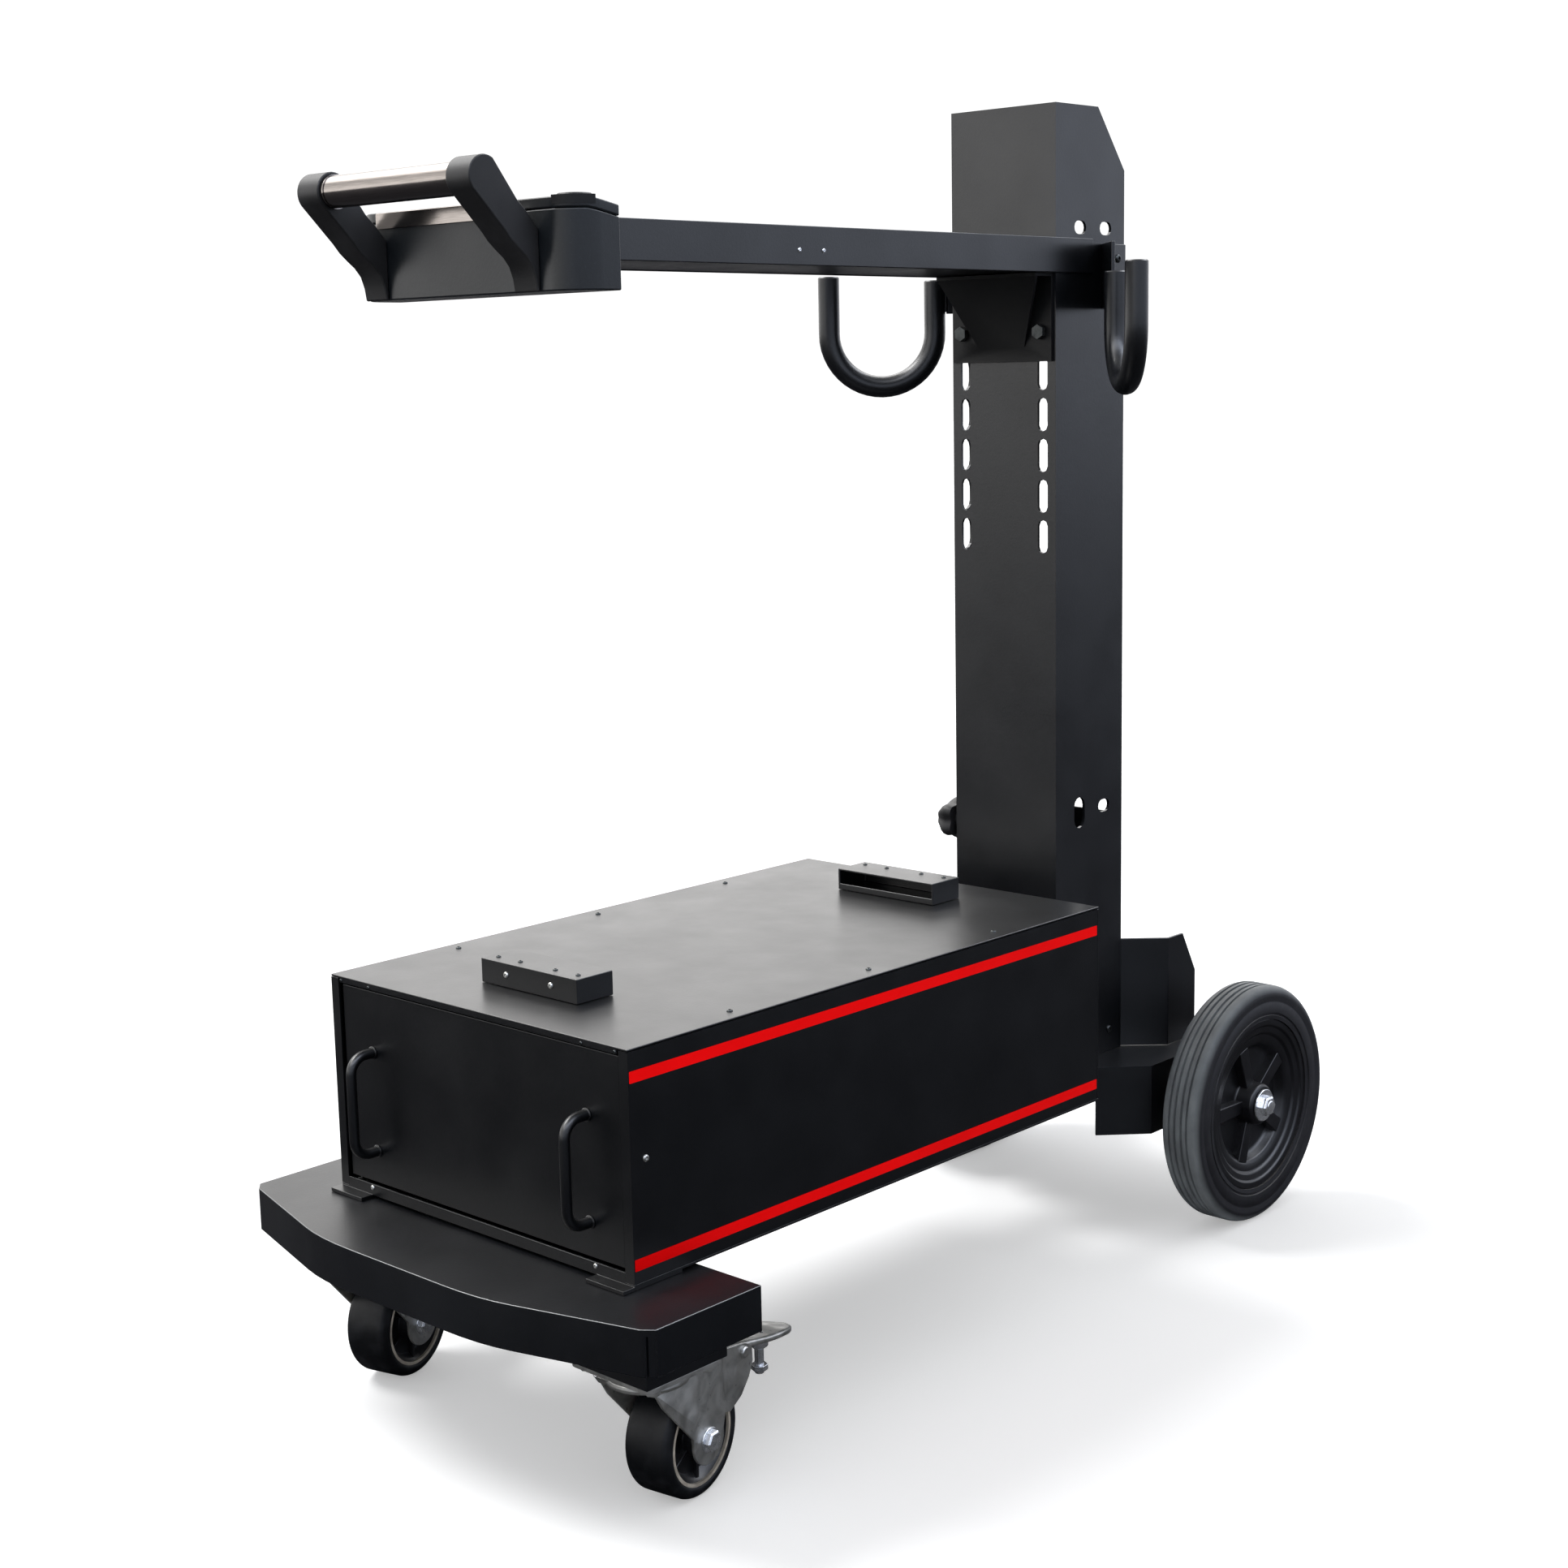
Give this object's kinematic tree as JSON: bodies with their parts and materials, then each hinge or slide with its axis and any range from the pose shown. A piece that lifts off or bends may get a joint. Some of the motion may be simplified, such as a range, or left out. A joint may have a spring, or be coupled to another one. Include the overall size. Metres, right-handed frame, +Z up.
{
  "type": "equipment cart",
  "caption": "Wheeled cart: low drawer cabinet on rear wheels and braked swivel casters, rear channel mast with a forward boom, push handle and hanging hooks.",
  "frame": {"origin": "on the floor, under the middle of the cart's overall box", "axes": "+Z up; -Y is the front, where the casters, the drawer and the push handle are; +X is the side away from the knob"},
  "size_m": [0.504, 1.1, 1.139],
  "materials": {
    "frame_paint": "fine-texture powder coat, satin, blue-black",
    "cabinet_paint": "fine-texture powder coat, satin, near black",
    "zinc_steel": "zinc plated, dull",
    "bright_steel": "bright plated",
    "stainless_steel": "brushed stainless, satin",
    "tyre": "solid rubber, matt, grey on the rolled ribs",
    "tread": "smooth rubber, slightly polished",
    "black_plastic": "moulded nylon, fine grain"
  },
  "bodies": {
    "cart": {"deck_tray": "frame_paint", "caster_beam": "frame_paint", "rear_cross_member": "frame_paint", "axle_housing": "frame_paint", "rear_axle": "zinc_steel", "mast": "frame_paint", "mast_foot": "zinc_steel", "cabinet_bottom": "cabinet_paint", "cabinet_top": "cabinet_paint", "cabinet_rear": "cabinet_paint", "saddle_front": "cabinet_paint", "saddle_rear": "cabinet_paint", "chassis_rail_R": "frame_paint", "chassis_rail_L": "frame_paint", "cradle_R": "frame_paint", "cradle_L": "frame_paint", "axle_bolt_R": "bright_steel", "axle_bolt_L": "bright_steel", "cabinet_side_R": "cabinet_paint", "cabinet_side_L": "cabinet_paint", "slide_outer_R": "zinc_steel", "slide_outer_L": "zinc_steel", "hook_bracket_R": "frame_paint", "hook_bracket_L": "frame_paint", "hook_R": "frame_paint", "hook_L": "frame_paint", "caster_plate_R": "zinc_steel", "caster_plate_L": "zinc_steel"},
    "drawer": {"drawer_tray": "zinc_steel", "drawer_front": "cabinet_paint", "drawer_pull_R": "frame_paint", "drawer_pull_L": "frame_paint", "slide_inner_R": "zinc_steel", "slide_inner_L": "zinc_steel"},
    "knob": {"mast_knob": "black_plastic"},
    "boom": {"boom": "frame_paint", "boom_cover": "frame_paint", "boom_bracket": "frame_paint", "head_housing": "frame_paint", "head_lid": "frame_paint", "head_plug": "black_plastic", "handle_bar": "stainless_steel", "boom_bolt_R": "zinc_steel", "boom_bolt_L": "zinc_steel", "handle_cheek_R": "black_plastic", "handle_cheek_L": "black_plastic"},
    "wheel_R": {"wheel_tyre_R": "tyre", "wheel_hub_R": "black_plastic"},
    "swivel_R": {"caster_fork_R": "zinc_steel", "caster_axle_R": "bright_steel"},
    "caster_wheel_R": {"caster_tread_R": "tread", "caster_hub_R": "black_plastic"},
    "pedal_R": {"brake_pedal_R": "zinc_steel"},
    "wheel_L": {"wheel_tyre_L": "tyre", "wheel_hub_L": "black_plastic"},
    "swivel_L": {"caster_fork_L": "zinc_steel", "caster_axle_L": "bright_steel"},
    "caster_wheel_L": {"caster_tread_L": "tread", "caster_hub_L": "black_plastic"},
    "pedal_L": {"brake_pedal_L": "zinc_steel"}
  },
  "joints": [
    {"name": "drawer_slide", "type": "slide", "parent": "cart", "child": "drawer", "axis": [0, -1, 0], "range_m": [0, 0.4]},
    {"name": "knob_turn", "type": "hinge", "parent": "cart", "child": "knob", "pos_m": [-0.08, 0.264, 0.423], "axis": [1, 0, 0], "continuous": true},
    {"name": "boom_height", "type": "slide", "parent": "cart", "child": "boom", "axis": [0, 0, 1], "range_m": [-0.011, 0.011]},
    {"name": "wheel_spin_R", "type": "hinge", "parent": "cart", "child": "wheel_R", "pos_m": [0.18, 0.425, 0.125], "axis": [1, 0, 0], "continuous": true},
    {"name": "caster_swivel_R", "type": "hinge", "parent": "cart", "child": "swivel_R", "pos_m": [0.18, -0.446, 0.12], "axis": [0, 0, 1], "continuous": true},
    {"name": "caster_spin_R", "type": "hinge", "parent": "swivel_R", "child": "caster_wheel_R", "pos_m": [0.17343, -0.40452, 0.05], "axis": [0.9877, 0.1564, 0], "continuous": true},
    {"name": "brake_press_R", "type": "hinge", "parent": "swivel_R", "child": "pedal_R", "pos_m": [0.16498, -0.35118, 0.104], "axis": [0.9877, 0.1564, 0], "range_deg": [-12, 6]},
    {"name": "wheel_spin_L", "type": "hinge", "parent": "cart", "child": "wheel_L", "pos_m": [-0.18, 0.425, 0.125], "axis": [1, 0, 0], "continuous": true},
    {"name": "caster_swivel_L", "type": "hinge", "parent": "cart", "child": "swivel_L", "pos_m": [-0.18, -0.446, 0.12], "axis": [0, 0, 1], "continuous": true},
    {"name": "caster_spin_L", "type": "hinge", "parent": "swivel_L", "child": "caster_wheel_L", "pos_m": [-0.19087, -0.40543, 0.05], "axis": [0.9659, 0.2588, 0], "continuous": true},
    {"name": "brake_press_L", "type": "hinge", "parent": "swivel_L", "child": "pedal_L", "pos_m": [-0.20485, -0.35327, 0.104], "axis": [0.9659, 0.2588, 0], "range_deg": [-12, 6]}
  ]
}
